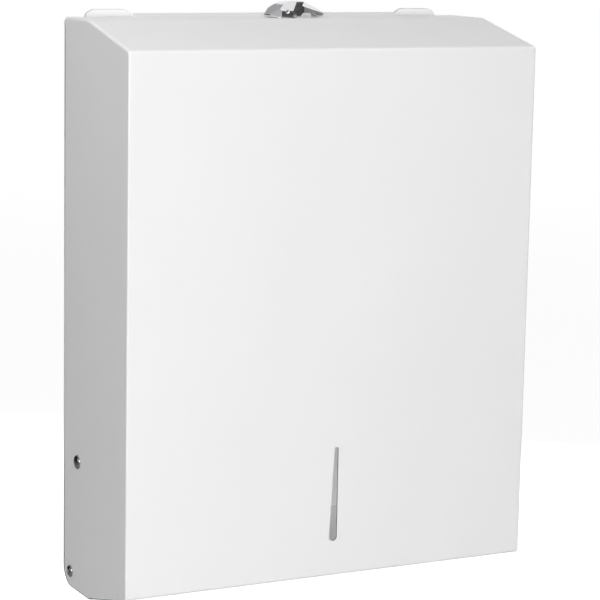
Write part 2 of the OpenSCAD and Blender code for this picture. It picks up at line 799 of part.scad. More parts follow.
module cam_screw() color(zinc) at_latch()
  difference() {
    union() {
      translate([0, 0, cam_seat]) cylinder(d = cam_screw_d, h = cam_screw_len + cam_washer_t);
      translate([0, 0, cam_seat]) rotate([180, 0, 0]) button(cam_head_d / 2, cam_head_h);
    }
    for (turn = [0, 90])
      rotate(turn) translate([-cam_head_d / 4, -cam_screw_d / 8, cam_seat - 1.5 * cam_head_h])
        cube([cam_head_d / 2, cam_screw_d / 4, cam_head_h]);
  }

// Foot on the plate, a shelf under the cam's plane and a catch turned up in front of the cam
module strike_bracket() color(zinc) place()
  difference() {
    union() {
      translate([strike_foot_x, -plate_t - strike_t, strike_foot_low])
        cube([strike_foot_w, strike_t, strike_foot_h]);
      translate([strike_x, strike_y - strike_t, strike_high - strike_t])
        cube([strike_w, -plate_t - strike_y + strike_t, strike_t]);
      translate([strike_x, strike_y - strike_t, strike_high - strike_t])
        cube([strike_w, strike_t, strike_t + 2 * strike_gap + cam_t]);
    }
    strike_pins() rivet_hole($pin[0], $pin[1]);
  }

back_plate();
hinge_bracket_left();
hinge_bracket_right();
bracket_rivets();
towel_shelf();
shelf_rivets();
strike_bracket();
strike_rivets();
pivot_rivet_left();
pivot_rivet_right();
pivot_washer_left();
pivot_washer_right();
cover_shell();
stop_stud_left();
stop_stud_right();
stop_washer_left();
stop_washer_right();
lock_bush();
lock_star_washer();
lock_nut();
lever_washer();
lock_lever();
lever_grub_screw();
lock_spindle();
lock_cam();
cam_spring_washer();
cam_screw();
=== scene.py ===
import json
import math

import bmesh
import bpy
from mathutils import Matrix, Vector


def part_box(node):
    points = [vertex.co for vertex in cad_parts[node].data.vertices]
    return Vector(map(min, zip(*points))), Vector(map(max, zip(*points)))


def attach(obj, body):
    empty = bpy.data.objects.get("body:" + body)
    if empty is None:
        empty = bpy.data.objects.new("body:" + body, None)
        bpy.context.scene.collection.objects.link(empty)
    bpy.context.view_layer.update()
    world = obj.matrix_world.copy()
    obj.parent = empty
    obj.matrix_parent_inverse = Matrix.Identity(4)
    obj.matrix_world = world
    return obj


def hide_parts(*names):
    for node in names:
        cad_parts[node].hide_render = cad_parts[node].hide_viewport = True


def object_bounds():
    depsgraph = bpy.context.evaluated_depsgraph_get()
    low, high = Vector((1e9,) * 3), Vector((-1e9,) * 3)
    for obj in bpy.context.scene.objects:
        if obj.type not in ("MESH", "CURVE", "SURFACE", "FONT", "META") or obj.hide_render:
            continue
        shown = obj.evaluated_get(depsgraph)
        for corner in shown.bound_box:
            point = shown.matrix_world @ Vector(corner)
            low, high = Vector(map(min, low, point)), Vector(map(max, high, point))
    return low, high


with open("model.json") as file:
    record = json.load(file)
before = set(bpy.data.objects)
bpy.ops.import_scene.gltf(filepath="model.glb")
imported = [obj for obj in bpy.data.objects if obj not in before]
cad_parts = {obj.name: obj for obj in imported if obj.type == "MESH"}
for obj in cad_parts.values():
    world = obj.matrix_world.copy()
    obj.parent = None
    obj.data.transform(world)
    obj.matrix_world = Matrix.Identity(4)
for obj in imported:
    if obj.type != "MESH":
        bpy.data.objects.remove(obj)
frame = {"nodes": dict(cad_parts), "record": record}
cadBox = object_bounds()
nodes = frame["nodes"]
print("frame loaded:", len(nodes), "nodes")


# Helpers for node trees

def addNode(tree, kind, inputs=None, **settings):
    made = tree.nodes.new(kind)
    for key, value in settings.items():
        setattr(made, key, value)
    for key, value in (inputs or {}).items():
        if isinstance(value, bpy.types.NodeSocket):
            tree.links.new(value, made.inputs[key])
        else:
            made.inputs[key].default_value = value
    return made


def calc(tree, kind, *values):
    return addNode(tree, "ShaderNodeMath", dict(enumerate(values)), operation=kind).outputs[0]


# Stretches one span of values to another
def remap(tree, value, source, target, **settings):
    spans = {"From Min": source[0], "From Max": source[1], "To Min": target[0], "To Max": target[1]}
    return addNode(tree, "ShaderNodeMapRange", {"Value": value, **spans}, **settings).outputs["Result"]


# The colour sockets of a mix node share their names with others, so they go by number
def mixColours(tree, share, first, second, **settings):
    sockets = {0: share, 6: first, 7: second}
    return addNode(tree, "ShaderNodeMix", sockets, data_type="RGBA", **settings).outputs[2]


def grey(level):
    return (level, level, level, 1)


# Helpers for outlines

def mix(a, b, share):
    return a + (b - a) * share


def circlePoints(centre, radius, steps):
    angles = [2 * math.pi * i / steps for i in range(steps)]
    return [centre + radius * Vector((math.cos(a), math.sin(a))) for a in angles]


# One list of points for each corner of a path in the plane: an arc, or the corner itself
def cornerArcs(points, radii, steps, closed=False):
    arcs = []
    count = len(points)
    for i, at in enumerate(points):
        if radii[i] == 0 or (not closed and i in (0, count - 1)):
            arcs.append([at])
            continue
        toBefore = (points[i - 1] - at).normalized()
        toAfter = (points[(i + 1) % count] - at).normalized()
        half = toBefore.angle(toAfter) / 2
        centre = at + (toBefore + toAfter).normalized() * radii[i] / math.sin(half)
        first = at + toBefore * radii[i] / math.tan(half) - centre
        last = at + toAfter * radii[i] / math.tan(half) - centre
        turn = math.atan2(first.cross(last), first.dot(last))
        arcs.append([centre + Matrix.Rotation(turn * k / steps, 2) @ first for k in range(steps + 1)])
    return arcs


def roundPath(points, radii, steps, closed=False):
    return [p for arc in cornerArcs(points, radii, steps, closed) for p in arc]


# Points of the two planes that outlines are drawn in
def yz(point, x):
    return Vector((x, point[0], point[1]))


def xz(point, y):
    return Vector((point[0], y, point[1]))


def centreOf(node):
    low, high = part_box(node)
    return (low + high) / 2


# Helpers for sheets

def addLoop(bm, points):
    return [bm.verts.new(p) for p in points]


def loopEdges(bm, verts):
    pairs = zip(verts, verts[1:] + verts[:1])
    return [bm.edges.get(pair) or bm.edges.new(pair) for pair in pairs]


# Flat face of a sheet: an outline with holes
def fillPanel(bm, outline, holes, normal):
    edges = [e for loop in [outline, *holes] for e in loopEdges(bm, loop)]
    bmesh.ops.triangle_fill(bm, use_beauty=True, edges=edges, normal=normal)


def bridgeRows(bm, rows, skip=(), finish=0):
    for i, (a, b) in enumerate(zip(rows, rows[1:])):
        for j in range(len(a) - 1):
            if (i, j) not in skip:
                bm.faces.new((a[j], a[j + 1], b[j + 1], b[j])).material_index = finish


# Turns the whole skin so that its face furthest along a direction looks that way
def faceTowards(bm, direction):
    bmesh.ops.recalc_face_normals(bm, faces=bm.faces)
    furthest = max(bm.faces, key=lambda f: f.calc_center_median().dot(direction))
    if furthest.normal.dot(direction) < 0:
        bmesh.ops.reverse_faces(bm, faces=bm.faces)


def makePiece(name, bm, materials):
    mesh = bpy.data.meshes.new(name)
    bm.to_mesh(mesh)
    bm.free()
    for polygon in mesh.polygons:
        polygon.use_smooth = True
    for material in materials:
        mesh.materials.append(material)
    piece = bpy.data.objects.new(name, mesh)
    bpy.context.scene.collection.objects.link(piece)
    return piece


# Rounds the edges sharper than an angle, and keeps the flats' shading flat
def softenEdges(piece, width, angle, segments):
    bevel = piece.modifiers.new("softEdges", "BEVEL")
    bevel.width = width
    bevel.segments = segments
    bevel.limit_method = "ANGLE"
    bevel.angle_limit = math.radians(angle)
    weighted = piece.modifiers.new("flatFaces", "WEIGHTED_NORMAL")
    weighted.keep_sharp = True
    return bevel


sheetEdges = {"angle": 50, "segments": 2}


# Gives a skin its sheet thickness, with softened cut edges in the second material
def thicken(piece, thickness, soften):
    solid = piece.modifiers.new("sheet", "SOLIDIFY")
    solid.thickness = thickness
    solid.offset = -1
    solid.use_even_offset = True
    solid.material_offset_rim = 1
    bevel = softenEdges(piece, soften, **sheetEdges)
    bevel.material = 1
    bevel.use_clamp_overlap = False


def finishPiece(piece, body, slot, *replaced):
    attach(piece, body)
    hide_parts(*replaced)
    print("piece:", piece.name)


# Finishes

noiseSpan = (0.3, 0.7)      # where nearly all of a noise's values lie


def newMaterial(name):
    material = bpy.data.materials.new(name)
    material.use_nodes = True
    tree = material.node_tree
    shader = tree.nodes["Principled BSDF"]
    place = addNode(tree, "ShaderNodeTexCoord").outputs["Object"]
    return material, tree, shader, place


def addNoise(tree, place, scale, detail=3.0):
    inputs = {"Vector": place, "Scale": scale, "Detail": detail}
    return addNode(tree, "ShaderNodeTexNoise", inputs).outputs["Fac"]


def setRoughness(tree, shader, source, gloss):
    tree.links.new(remap(tree, source, noiseSpan, gloss), shader.inputs["Roughness"])


def setColours(tree, shader, source, first, second):
    tree.links.new(mixColours(tree, source, first, second), shader.inputs["Base Color"])


def setBump(tree, shader, layers):
    normal = None
    for height, strength, distance in layers:
        inputs = {"Height": height, "Strength": strength, "Distance": distance}
        if normal:
            inputs["Normal"] = normal
        normal = addNode(tree, "ShaderNodeBump", inputs).outputs["Normal"]
    tree.links.new(normal, shader.inputs["Normal"])


enamel = {
    "whiteEnamel": (0.86, 0.885),   # base colour, which drifts a little
    "whitenedPlateEnamel": (0.93, 0.96),    # the wall plate's copy of the white paint is made paler, painted light that brightens its tongues
    "driftScale": 9,
    "gloss": (0.34, 0.46), "smearScale": 55,                    # roughness
    "waveScale": 14, "waveDepth": 0.0006, "waveBump": 0.12,     # slow waves of the sheet
    "peelScale": 850, "peelDepth": 0.00005, "peelBump": 0.25,   # orange peel of the sprayed coat
}


def makeEnamel(name):
    material, tree, shader, place = newMaterial(name)
    drift = addNoise(tree, place, enamel["driftScale"], detail=2)
    smears = addNoise(tree, place, enamel["smearScale"], detail=4)
    peel = addNoise(tree, place, enamel["peelScale"], detail=2)
    waves = addNoise(tree, place, enamel["waveScale"], detail=1)
    deep, pale = enamel[name]
    setColours(tree, shader, drift, grey(deep), grey(pale))
    setRoughness(tree, shader, smears, enamel["gloss"])
    setBump(tree, shader, [
        (waves, enamel["waveBump"], enamel["waveDepth"]),
        (peel, enamel["peelBump"], enamel["peelDepth"])])
    return material


cutEdge = {
    "steel": 0.12, "paint": 0.3, "gloss": (0.35, 0.6),
    "chipScale": 420, "chipDepth": 0.00008, "chipBump": 0.3,
}


def makeCutEdge():
    material, tree, shader, place = newMaterial("cutEdge")
    chips = addNoise(tree, place, cutEdge["chipScale"], detail=5)
    setColours(tree, shader, chips, grey(cutEdge["steel"]), grey(cutEdge["paint"]))
    setRoughness(tree, shader, chips, cutEdge["gloss"])
    setBump(tree, shader, [(chips, cutEdge["chipBump"], cutEdge["chipDepth"])])
    return material


# Painted shade: a dark band along the sides' free edges, darkest towards the bottom, pale in the middle
# and darker again near the top; its scuffs are random tone
paintedEdgeShade = {
    "span": (-0.178, 0.178),                                # heights of its lower and upper end
    "tones": {0: 0.14, 0.3: 0.7, 0.5: 0.8, 0.85: 0.34},     # tones of the painted shade, from the lower end to the upper
    "gloss": (0.4, 0.6),
    "scuffScale": 160, "scuffShare": 0.25, "scuffDepth": 0.00005, "scuffBump": 0.2,
}


def makePaintedEdgeShade():
    material, tree, shader, place = newMaterial("paintedEdgeShade")
    height = addNode(tree, "ShaderNodeSeparateXYZ", {0: place}).outputs["Z"]
    share = remap(tree, height, paintedEdgeShade["span"], (0, 1))
    tones = addNode(tree, "ShaderNodeValToRGB", {"Fac": share})
    stops = tones.color_ramp.elements
    stops.remove(stops[1])
    for i, (at, tone) in enumerate(paintedEdgeShade["tones"].items()):
        stop = stops.new(at) if i else stops[0]
        stop.color = grey(tone)
    scuffs = addNoise(tree, place, paintedEdgeShade["scuffScale"], detail=4)
    shadeWithScuffs = mixColours(
        tree, paintedEdgeShade["scuffShare"], tones.outputs["Color"], scuffs, blend_type="OVERLAY")
    tree.links.new(shadeWithScuffs, shader.inputs["Base Color"])
    setRoughness(tree, shader, scuffs, paintedEdgeShade["gloss"])
    setBump(tree, shader, [(scuffs, paintedEdgeShade["scuffBump"], paintedEdgeShade["scuffDepth"])])
    return material


# Plated metals: two tones, a span of roughness, and marks drawn out along one axis
metals = {
    "zincPlate": {
        "dark": (0.5, 0.52, 0.55, 1), "pale": (0.7, 0.71, 0.72, 1), "gloss": (0.28, 0.46),
        "markScale": 700, "stretch": (1, 1, 0.15), "markDepth": 0.00003},
    "nickelSteel": {
        "dark": (0.2, 0.2, 0.21, 1), "pale": (0.32, 0.32, 0.33, 1), "gloss": (0.1, 0.2),
        "markScale": 900, "stretch": (0.2, 1, 1), "markDepth": 0.00002},
    "chromePlate": {
        "dark": (0.74, 0.74, 0.76, 1), "pale": (0.84, 0.84, 0.86, 1), "gloss": (0.05, 0.12),
        "markScale": 1100, "stretch": (0.12, 1, 1), "markDepth": 0.000008},
}
allMetals = {"cloudScale": 130, "markBump": 0.15}


def makeMetal(name):
    metal = metals[name]
    material, tree, shader, place = newMaterial(name)
    shader.inputs["Metallic"].default_value = 1
    drawn = addNode(tree, "ShaderNodeMapping", {"Vector": place, "Scale": metal["stretch"]})
    marks = addNoise(tree, drawn.outputs["Vector"], metal["markScale"], detail=6)
    cloud = addNoise(tree, place, allMetals["cloudScale"])
    setColours(tree, shader, cloud, metal["dark"], metal["pale"])
    setRoughness(tree, shader, cloud, metal["gloss"])
    setBump(tree, shader, [(marks, allMetals["markBump"], metal["markDepth"])])
    return material


nylon = {
    "dark": (0.8, 0.78, 0.72, 1), "pale": (0.88, 0.86, 0.81, 1), "gloss": (0.42, 0.58),
    "cloudScale": 220,
    "grainScale": 2600, "grainDepth": 0.00003, "grainBump": 0.3,
}


def makeNylon():
    material, tree, shader, place = newMaterial("naturalNylon")
    cloud = addNoise(tree, place, nylon["cloudScale"])
    grain = addNoise(tree, place, nylon["grainScale"], detail=2)
    setColours(tree, shader, cloud, nylon["dark"], nylon["pale"])
    setRoughness(tree, shader, cloud, nylon["gloss"])
    setBump(tree, shader, [(grain, nylon["grainBump"], nylon["grainDepth"])])
    return material


whiteEnamel = makeEnamel("whiteEnamel")
whitenedPlateEnamel = makeEnamel("whitenedPlateEnamel")
rawEdge = makeCutEdge()
# painted shade along the sides' free edges
edgeShadeFinish = makePaintedEdgeShade()
zincPlate = makeMetal("zincPlate")
nickelSteel = makeMetal("nickelSteel")
chromePlate = makeMetal("chromePlate")
naturalNylon = makeNylon()
finishOfSlot = {
    "white_paint": whiteEnamel, "zinc": zincPlate, "rivet_steel": nickelSteel,
    "chrome": chromePlate, "nylon": naturalNylon}

# every node takes its slot's finish, and keeps it where no finer piece stands for it
for subpart in frame["record"]["subparts"]:
    mesh = nodes[subpart["node"]].data
    mesh.materials.clear()
    mesh.materials.append(finishOfSlot[subpart["material_slot"]])


# Cover

cover = {
    "sheet": 0.001,
    "bend": 0.0012,                 # outside radius of the bends beside the front
    "topBend": 0.0021,              # and of those above and below it
    "ridge": 0.008,                 # radius of the soft ridges
    "softSeam": 0.0018,             # radius of the dressed seams between tops and sides
    "hemSeam": 0.0011,
    "topDrop": 0.0145, "topFlat": 0.039,
    "bottomRise": 0.0157, "bottomFlat": 0.0424,
    "lowCorner": 0.013, "highCorner": 0.0015,
    "flange": 0.015, "hem": 0.006, "hemRadius": 0.00105,
    "slotLow": 0.0377, "slotHeight": 0.0595, "slotRight": 0.0039,
    "slotTop": 0.0026, "slotBottom": 0.0056,    # widths of the slot's ends
    "slotRound": 0.46,              # radius of their corners as a share of the width
    "latchHole": 0.006,
    "pinHole": 0.0026,              # radius of the holes for the pivots and studs
    "edgeDepth": 0.0085, "edgeRise": 0.0021,    # the level top's raised rear edge, between the tongues
    "edgeHalf": 0.092, "edgeEnd": 0.0018, "edgeBend": 0.012,
    "edgeLead": 0.01,               # level stretch that its bend starts from
    "edgeRoll": 0.0009,             # radius to which the sides' free edges are dressed
    "rollGrows": (0.004, 0.008, 0.016),     # where the roll gains its radius, in shares of the rear edge
    "rollFades": 0.85,              # where it loses it again, as a share of the last stretch
    "rollStep": 0.5,                # share of the radius gained from one such point to the next
    "edgeBand": 0.0015,             # width of the band of painted shade along the sides' rear edges
    "leastBand": 0.05,              # share of that width along the bottom
    "softEdge": 0.0000022,          # hairline on the cut edges, which keeps the flats' shading clean
    "seamSteps": 7, "bendSteps": 8, "cornerSteps": 10, "rollSteps": 4, "holeSteps": 40,
}


def levelTop():
    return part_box("cover_shell")[1].z - cover["edgeRise"]


def coverCorners(low, high):
    frontLow = Vector((low.y, low.z + cover["bottomRise"]))
    frontHigh = Vector((low.y, levelTop() - cover["topDrop"]))
    ridge = Vector((high.y - cover["topFlat"], levelTop()))
    rearTop = Vector((high.y - cover["highCorner"], levelTop()))
    lowBend = Vector((high.y - cover["bottomFlat"], low.z))
    return frontLow, frontHigh, ridge, rearTop, lowBend


# Rows from the hem's free edge over front and tops to the rear edge: point, inward direction, seam radius
def coverRows(corners):
    frontLow, frontHigh, ridge, rearTop, lowBend = corners
    along = (lowBend - frontLow).normalized()
    up = Vector((-along.y, along.x))
    flangeEnd = frontLow + along * cover["flange"]
    steps = cover["bendSteps"]
    path = [flangeEnd, frontLow, frontHigh, ridge, rearTop]
    seams = [cover["hemSeam"], cover["bend"], cover["softSeam"], cover["softSeam"]]
    arcs = cornerArcs(path, [0, cover["topBend"], cover["topBend"], cover["ridge"], 0], steps)
    points = [p for arc in arcs for p in arc]
    radii = []
    for i, arc in enumerate(arcs):
        before = seams[max(i - 1, 0)]
        after = seams[min(i, len(seams) - 1)]
        radii += [mix(before, after, k / max(len(arc) - 1, 1)) for k in range(len(arc))]
    rows = []
    for i, point in enumerate(points):
        ahead = points[min(i + 1, len(points) - 1)] - points[max(i - 1, 0)]
        inward = Vector((ahead.y, -ahead.x)).normalized()
        rows.append((point, inward, radii[i]))
    middle = flangeEnd + up * cover["hemRadius"]
    turns = [math.pi * k / steps for k in range(steps)]
    fold = [middle + cover["hemRadius"] * (math.cos(t) * up + math.sin(t) * along) for t in turns]
    hem = [fold[0] - along * cover["hem"], *fold]
    return hem, rows


def slotOutline(low):
    right = cover["slotRight"]
    bottom = low.z + cover["slotLow"]
    top = bottom + cover["slotHeight"]
    corners = [
        (right, bottom), (right, top),
        (right - cover["slotTop"], top), (right - cover["slotBottom"], bottom)]
    ends = ("slotBottom", "slotTop", "slotTop", "slotBottom")
    radii = [cover["slotRound"] * cover[end] for end in ends]
    return roundPath([Vector(c) for c in corners], radii, cover["cornerSteps"], closed=True)


# Front, tops and flange as rows of points, with a rounded seam at either end
def addWrap(bm, rows, sideX):
    steps = cover["seamSteps"]
    grid = []
    for point, inward, radius in rows:
        right = []
        for k in range(steps + 1):
            angle = math.pi / 2 * k / steps
            at = point + inward * radius * (1 - math.cos(angle))
            right.append(yz(at, sideX - radius * (1 - math.sin(angle))))
        left = [Vector((-p.x, p.y, p.z)) for p in reversed(right)]
        grid.append(addLoop(bm, left + right))
    return grid


# Ramp that climbs to the rear edge, with sloping ends; returns the line where it leaves the level top
def addRaisedEdge(bm, rear):
    top = levelTop()
    half = cover["edgeHalf"]
    start = rear - cover["edgeDepth"]
    bend = [(start - cover["edgeLead"], top), (start, top), (rear, top + cover["edgeRise"])]
    ramp = roundPath([Vector(p) for p in bend], [0, cover["edgeBend"], 0], cover["bendSteps"])[1:]
    rows = [addLoop(bm, [yz(p, x) for x in (-half, half)]) for p in ramp]
    bridgeRows(bm, rows)
    foot = []
    for side, sign in ((0, -1), (1, 1)):
        line = [rows[0][side]]
        for k in range(1, len(ramp)):
            share = (ramp[k].y - top) / cover["edgeRise"]
            footX = sign * (half + share * cover["edgeEnd"])
            line.append(bm.verts.new((footX, ramp[k].x, top)))
            corners = [rows[k - 1][side], rows[k][side], line[k], line[k - 1]]
            bm.faces.new(corners[:3] if k == 1 else corners)
        foot.append(line)
    return foot


# Level top between its ridge and its rear edge, with the latch's hole
def addLevelTop(bm, ahead, behind, rear):
    around = circlePoints(centreOf("lock_bush").xy, cover["latchHole"], cover["holeSteps"])
    hole = addLoop(bm, [Vector((p.x, p.y, levelTop())) for p in around])
    footLeft, footRight = addRaisedEdge(bm, rear)
    rearLeft, rearRight = behind
    jogX = cover["edgeHalf"] + cover["edgeEnd"] + cover["highCorner"]
    jogs = [Vector((x, rearLeft.co.y, levelTop())) for x in (-jogX, jogX)]
    jogLeft, jogRight = addLoop(bm, jogs)
    outline = [*ahead, rearRight, jogRight, *reversed(footRight), *footLeft, jogLeft, rearLeft]
    fillPanel(bm, outline, [hole], (0, 0, 1))


# Turns a side's free edge inwards along a path; returns the line where the flat begins
def addRolledEdge(bm, path, sideX):
    last = len(path) - 1
    steps = cover["rollSteps"]
    turns = [math.pi / 2 * j / steps for j in range(steps + 1)]
    rows = []
    for k in range(1, last):
        along = (path[k + 1] - path[k - 1]).normalized()
        inward = Vector((along.y, -along.x))
        taper = min(1, cover["rollStep"] * k, cover["rollStep"] * (last - k))
        radius = cover["edgeRoll"] * taper
        band = cover["edgeBand"] * taper * max(cover["leastBand"], -inward.x)
        places = [path[k] + inward * (radius + band)]
        places += [path[k] + inward * radius * (1 - math.sin(t)) for t in turns]
        depths = [sideX] + [sideX - math.copysign(radius, sideX) * (1 - math.cos(t)) for t in turns]
        rows.append(addLoop(bm, [yz(p, x) for p, x in zip(places, depths)]))
    # the band beside the roll takes the painted shade and the roll itself the dark cut-edge finish;
    # together they paint a shaded line along the free edges
    bridgeRows(bm, [row[:2] for row in rows], finish=2)
    bridgeRows(bm, [row[1:] for row in rows], finish=1)
    ends = addLoop(bm, [yz(p, sideX) for p in (path[0], path[last])])
    for end, row in zip(ends, (rows[0], rows[-1])):
        for j, (a, b) in enumerate(zip(row, row[1:])):
            bm.faces.new((end, a, b)).material_index = 1 if j else 2
    return [ends[0], *[row[0] for row in rows], ends[1]]


# Sides: along the wrap's ends, then round the rear and the bottom
def addSides(bm, grid, rows, lowBend, low, high):
    point, inward, radius = rows[-1]
    seamEnd = point + inward * radius
    steps = cover["cornerSteps"]
    rim = roundPath(
        [seamEnd, Vector((high.y, seamEnd.y)), Vector((high.y, low.z)), lowBend, rows[0][0]],
        [0, cover["highCorner"], cover["lowCorner"], cover["ridge"], 0], steps)
    corner = rim[2:steps + 1]       # its arc starts at the seam's end, which is there already
    path = rim[steps + 1:]
    path[1:1] = [mix(path[0], path[1], share) for share in cover["rollGrows"]]
    path.insert(-1, mix(path[-2], path[-1], cover["rollFades"]))
    for sign, column in ((-1, 0), (1, -1)):
        sideX = sign * high.x
        outline = [row[column] for row in grid]
        outline += addLoop(bm, [yz(p, sideX) for p in corner])
        outline += addRolledEdge(bm, path, sideX)
        holes = []
        for node in ("pivot_rivet", "stop_stud"):
            around = circlePoints(centreOf(f"{node}_right").yz, cover["pinHole"], cover["holeSteps"])
            holes.append(addLoop(bm, [yz(p, sideX) for p in around]))
        fillPanel(bm, outline, holes, (sign, 0, 0))


def buildCover():
    low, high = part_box("cover_shell")
    corners = coverCorners(low, high)
    hem, rows = coverRows(corners)
    bm = bmesh.new()
    grid = addWrap(bm, rows, high.x)
    # front and level top, the wrap's two long flat stretches, are left open for their holes
    steps = cover["seamSteps"]
    flats = [row[steps:steps + 2] for row in grid]
    spans = [(b[0] - a[0]).length for a, b in zip(rows, rows[1:])]
    front = spans.index(max(spans))
    level = len(rows) - 2
    bridgeRows(bm, grid, skip={(front, steps), (level, steps)})
    hemX = high.x - cover["hemSeam"]
    hemRows = [addLoop(bm, [yz(p, x) for x in (-hemX, hemX)]) for p in hem]
    bridgeRows(bm, hemRows + [flats[0]])
    slot = addLoop(bm, [xz(p, low.y) for p in slotOutline(low)])
    fillPanel(bm, [*flats[front], *reversed(flats[front + 1])], [slot], (0, -1, 0))
    addLevelTop(bm, flats[level], flats[level + 1], high.y)
    addSides(bm, grid, rows, corners[-1], low, high)
    faceTowards(bm, Vector((0, -1, 0)))
    # the third finish is the painted shade along the sides' free edges
    piece = makePiece("coverShell", bm, [whiteEnamel, rawEdge, edgeShadeFinish])
    thicken(piece, cover["sheet"], cover["softEdge"])
    finishPiece(piece, "cover", "white_paint", "cover_shell")


buildCover()


# Rivets and studs, from one tree of geometry nodes

smallRivet = {
    "headRadius": 0.003, "headHeight": 0.0014, "shankRadius": 0.0016,
    "tailRadius": 0.0, "tailHeight": 0.0, "dimpleRadius": 0.0, "dimpleDepth": 0.0}
pivotRivet = {
    "headRadius": 0.0038, "headHeight": 0.0019, "shankRadius": 0.0025,
    "tailRadius": 0.0036, "tailHeight": 0.0015, "dimpleRadius": 0.0016, "dimpleDepth": 0.0009}
stopStud = {
    "headRadius": 0.0044, "headHeight": 0.0019, "shankRadius": 0.0025,
    "tailRadius": 0.0036, "tailHeight": 0.0015, "dimpleRadius": 0.0, "dimpleDepth": 0.0}
rivetGrid = {"bracket_rivets": (2, 2), "shelf_rivets": (4, 1), "strike_rivets": (2, 1)}
rivetMesh = {
    "segments": 40, "rings": 24, "shankSides": 36,
    "crownPower": 0.8,              # below 1 a dome is fuller than half a ball
    "crownFrom": 0.01,              # the dimple leaves what lies lower than this share of the dome
    "dimpleShare": 0.8,             # share of the dimple's radius that shows its own finish
    "sharpAngle": 50,
}
rivetInputs = {
    "headRadius": "Head Radius", "headHeight": "Head Height",
    "shankRadius": "Shank Radius", "shankLength": "Shank Length",
    "tailRadius": "Tail Radius", "tailHeight": "Tail Height",
    "dimpleRadius": "Dimple Radius", "dimpleDepth": "Dimple Depth"}


# A point's coordinates, and how far it lies from the rivet's axis
def whereabouts(tree):
    position = addNode(tree, "GeometryNodeInputPosition").outputs[0]
    at = addNode(tree, "ShaderNodeSeparateXYZ", {0: position}).outputs
    squares = [calc(tree, "MULTIPLY", part, part) for part in (at[0], at[1])]
    return at, calc(tree, "SQRT", calc(tree, "ADD", *squares))


# Half a ball, pressed flat below, with a dimple in its crown
def addDome(tree, given, radius, height):
    ball = addNode(tree, "GeometryNodeMeshUVSphere", {
        "Segments": rivetMesh["segments"], "Rings": rivetMesh["rings"], "Radius": 1.0})
    at, out = whereabouts(tree)
    fullness = calc(tree, "POWER", calc(tree, "MAXIMUM", at[2], 0.0), rivetMesh["crownPower"])
    crown = calc(tree, "MULTIPLY", fullness, height)
    dip = remap(
        tree, calc(tree, "MULTIPLY", out, radius), (0.0, given["Dimple Radius"]),
        (given["Dimple Depth"], 0.0), interpolation_type="SMOOTHSTEP")
    above = calc(tree, "GREATER_THAN", at[2], rivetMesh["crownFrom"])
    lowered = calc(tree, "SUBTRACT", crown, calc(tree, "MULTIPLY", dip, above))
    place = addNode(tree, "ShaderNodeCombineXYZ", {
        0: calc(tree, "MULTIPLY", at[0], radius),
        1: calc(tree, "MULTIPLY", at[1], radius),
        2: lowered})
    return addNode(tree, "GeometryNodeSetPosition", {
        "Geometry": ball.outputs["Mesh"], "Position": place.outputs[0]}).outputs[0]


# Moves a shape back along the shank by a share of its length, turned over if need be
def alongShank(tree, given, shape, share, turn=0):
    back = calc(tree, "MULTIPLY", given["Shank Length"], -share)
    place = addNode(tree, "ShaderNodeCombineXYZ", {2: back})
    return addNode(tree, "GeometryNodeTransform", {
        "Geometry": shape, "Translation": place.outputs[0], "Rotation": (turn, 0, 0)}).outputs[0]


def makeRivetTree():
    tree = bpy.data.node_groups.new("rivet", "GeometryNodeTree")
    sockets = tree.interface
    sockets.new_socket("Places", in_out="INPUT", socket_type="NodeSocketGeometry")
    for name in rivetInputs.values():
        sockets.new_socket(name, in_out="INPUT", socket_type="NodeSocketFloat")
    for name in ("Finish", "Dimple Finish"):
        sockets.new_socket(name, in_out="INPUT", socket_type="NodeSocketMaterial")
    sockets.new_socket("Rivets", in_out="OUTPUT", socket_type="NodeSocketGeometry")
    given = addNode(tree, "NodeGroupInput").outputs
    head = addDome(tree, given, given["Head Radius"], given["Head Height"])
    bar = addNode(tree, "GeometryNodeMeshCylinder", {
        "Vertices": rivetMesh["shankSides"], "Radius": given["Shank Radius"],
        "Depth": given["Shank Length"]})
    shank = alongShank(tree, given, bar.outputs["Mesh"], 0.5)
    dome = addDome(tree, given, given["Tail Radius"], given["Tail Height"])
    tail = addNode(tree, "GeometryNodeSwitch", {
        "Switch": calc(tree, "GREATER_THAN", given["Tail Height"], 0.0),
        "True": alongShank(tree, given, dome, 1.0, turn=math.pi)}, input_type="GEOMETRY")
    whole = addNode(tree, "GeometryNodeJoinGeometry")
    for part in (head, shank, tail.outputs[0]):
        tree.links.new(part, whole.inputs[0])
    dressed = addNode(tree, "GeometryNodeSetMaterial", {
        "Geometry": whole.outputs[0], "Material": given["Finish"]})
    at, out = whereabouts(tree)
    dimple = calc(tree, "MULTIPLY", given["Dimple Radius"], rivetMesh["dimpleShare"])
    hollow = calc(tree, "LESS_THAN", out, dimple)
    onHead = calc(tree, "GREATER_THAN", at[2], 0.0)
    bright = addNode(tree, "GeometryNodeSetMaterial", {
        "Geometry": dressed.outputs[0], "Material": given["Dimple Finish"],
        "Selection": calc(tree, "MULTIPLY", hollow, onHead)})
    facing = addNode(
        tree, "GeometryNodeInputNamedAttribute", {"Name": "facing"}, data_type="FLOAT_VECTOR")
    turn = addNode(tree, "FunctionNodeAlignRotationToVector", {"Vector": facing.outputs[0]}, axis="Z")
    spread = addNode(tree, "GeometryNodeInstanceOnPoints", {
        "Points": given["Places"], "Instance": bright.outputs[0], "Rotation": turn.outputs[0]})
    real = addNode(tree, "GeometryNodeRealizeInstances", {"Geometry": spread.outputs[0]})
    tree.links.new(real.outputs[0], addNode(tree, "NodeGroupOutput").inputs[0])
    return tree


rivetTree = makeRivetTree()


